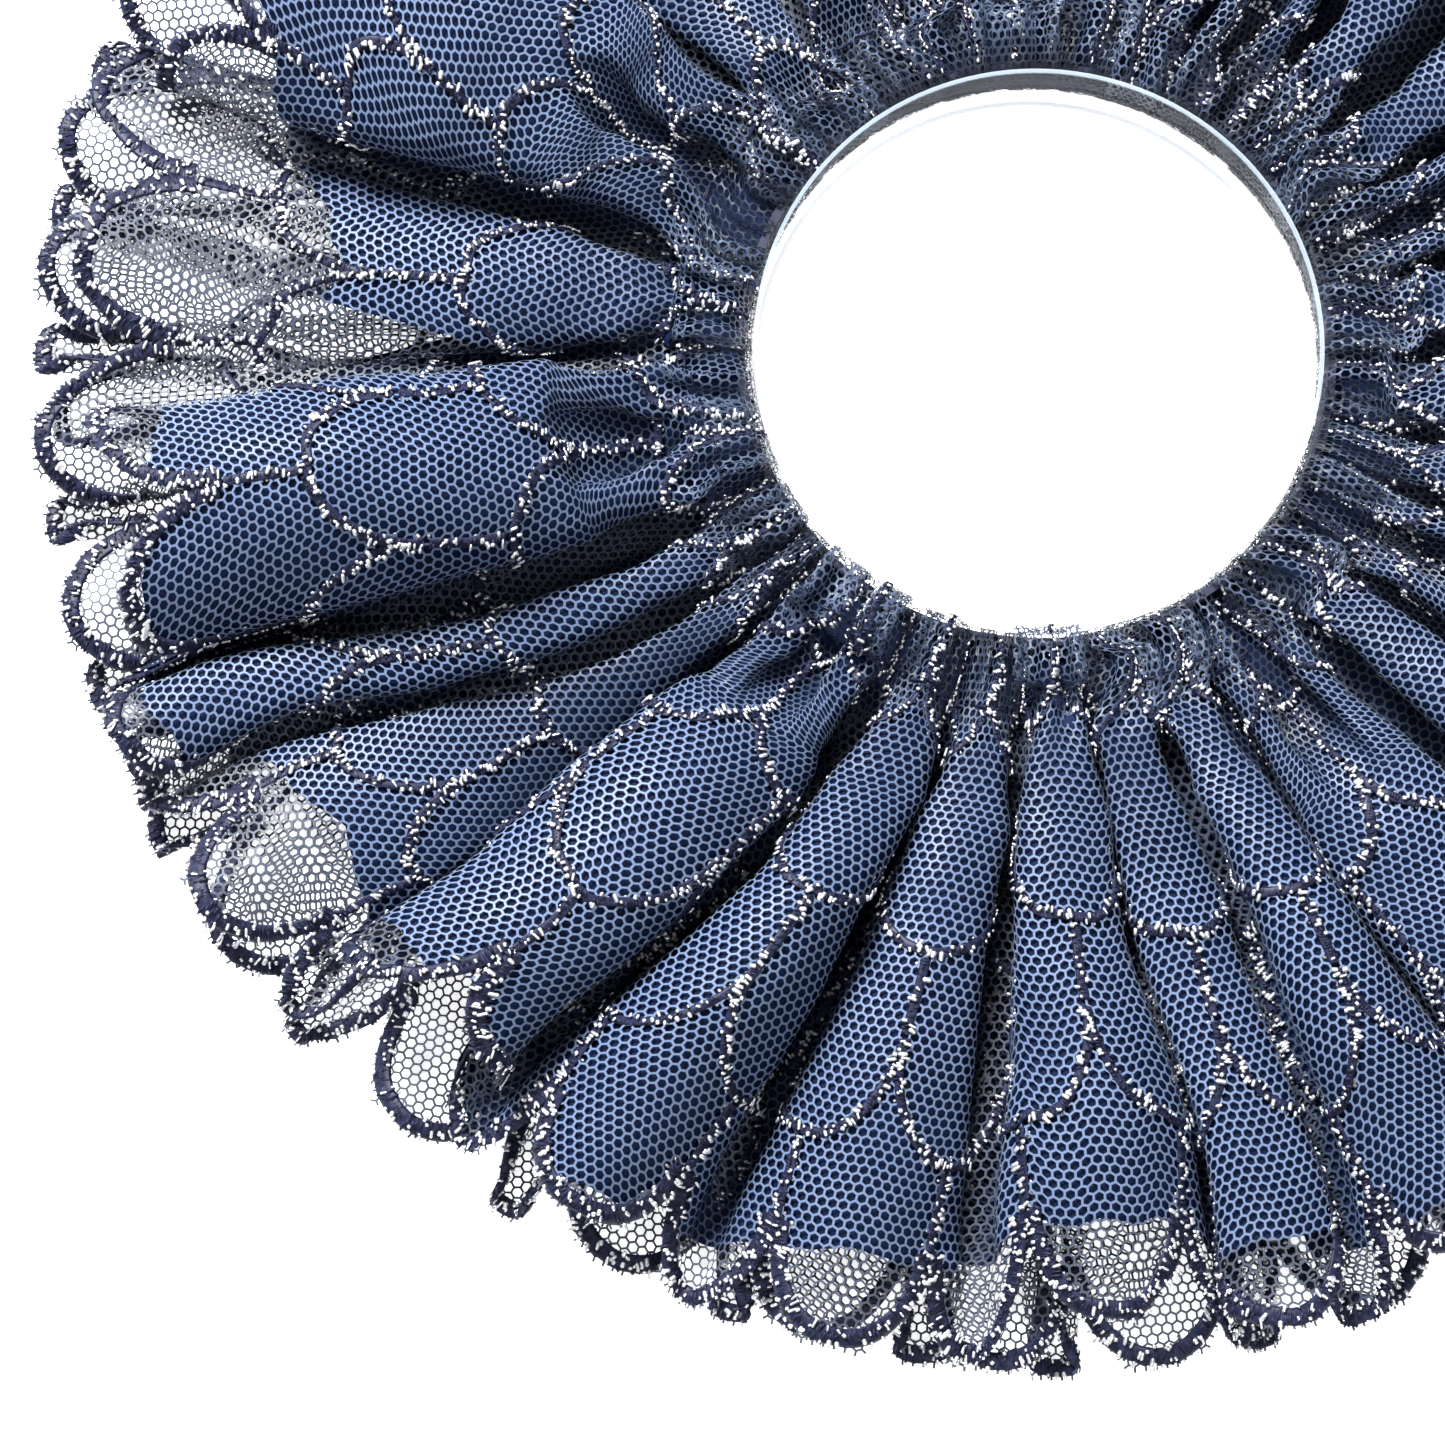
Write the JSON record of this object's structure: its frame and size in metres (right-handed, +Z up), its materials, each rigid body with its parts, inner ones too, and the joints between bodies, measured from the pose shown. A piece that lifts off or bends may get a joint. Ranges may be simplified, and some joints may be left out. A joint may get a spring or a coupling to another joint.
{
  "type": "hair bun ruffle",
  "caption": "Gathered two-layer ring of scalloped embroidered lace on an elastic, round a thin clear hoop that a hair bun passes through.",
  "frame": {"origin": "on the axis of the clear hoop, in the plane that the object rests on", "axes": "+Z up along the hoop's axis, out through the side that the upper ruffle faces"},
  "size_m": [0.2078, 0.2078, 0.0231],
  "materials": {
    "clear_plastic": "gloss",
    "elastic": "matte",
    "net": "matte",
    "lining": "satin",
    "satin_thread": "satin",
    "silver_thread": "polished"
  },
  "bodies": {
    "hoop": {"clear_hoop": "clear_plastic"},
    "elastic": {"elastic_band": "elastic", "elastic_stitches": "satin_thread"},
    "lace": {"casing": "net", "casing_stitching": "satin_thread", "lower_ruffle": "net", "lower_scales_inner": "satin_thread", "lower_scales_middle": "satin_thread", "lower_scales_outer": "satin_thread", "lower_border": "satin_thread", "lower_silver_thread": "silver_thread", "lower_seam": "satin_thread", "lining": "lining", "upper_ruffle": "net", "upper_scales_inner": "satin_thread", "upper_scales_middle": "satin_thread", "upper_scales_outer": "satin_thread", "upper_border": "satin_thread", "upper_silver_thread": "silver_thread", "upper_seam": "satin_thread"}
  },
  "joints": [
    {"name": "pull_off", "type": "slide", "parent": "hoop", "child": "elastic", "axis": [0, 0, 1], "range_m": [0, 0.03]},
    {"name": "turn_on_elastic", "type": "hinge", "parent": "elastic", "child": "lace", "pos_m": [0, 0, 0], "axis": [0, 0, 1], "continuous": true}
  ]
}
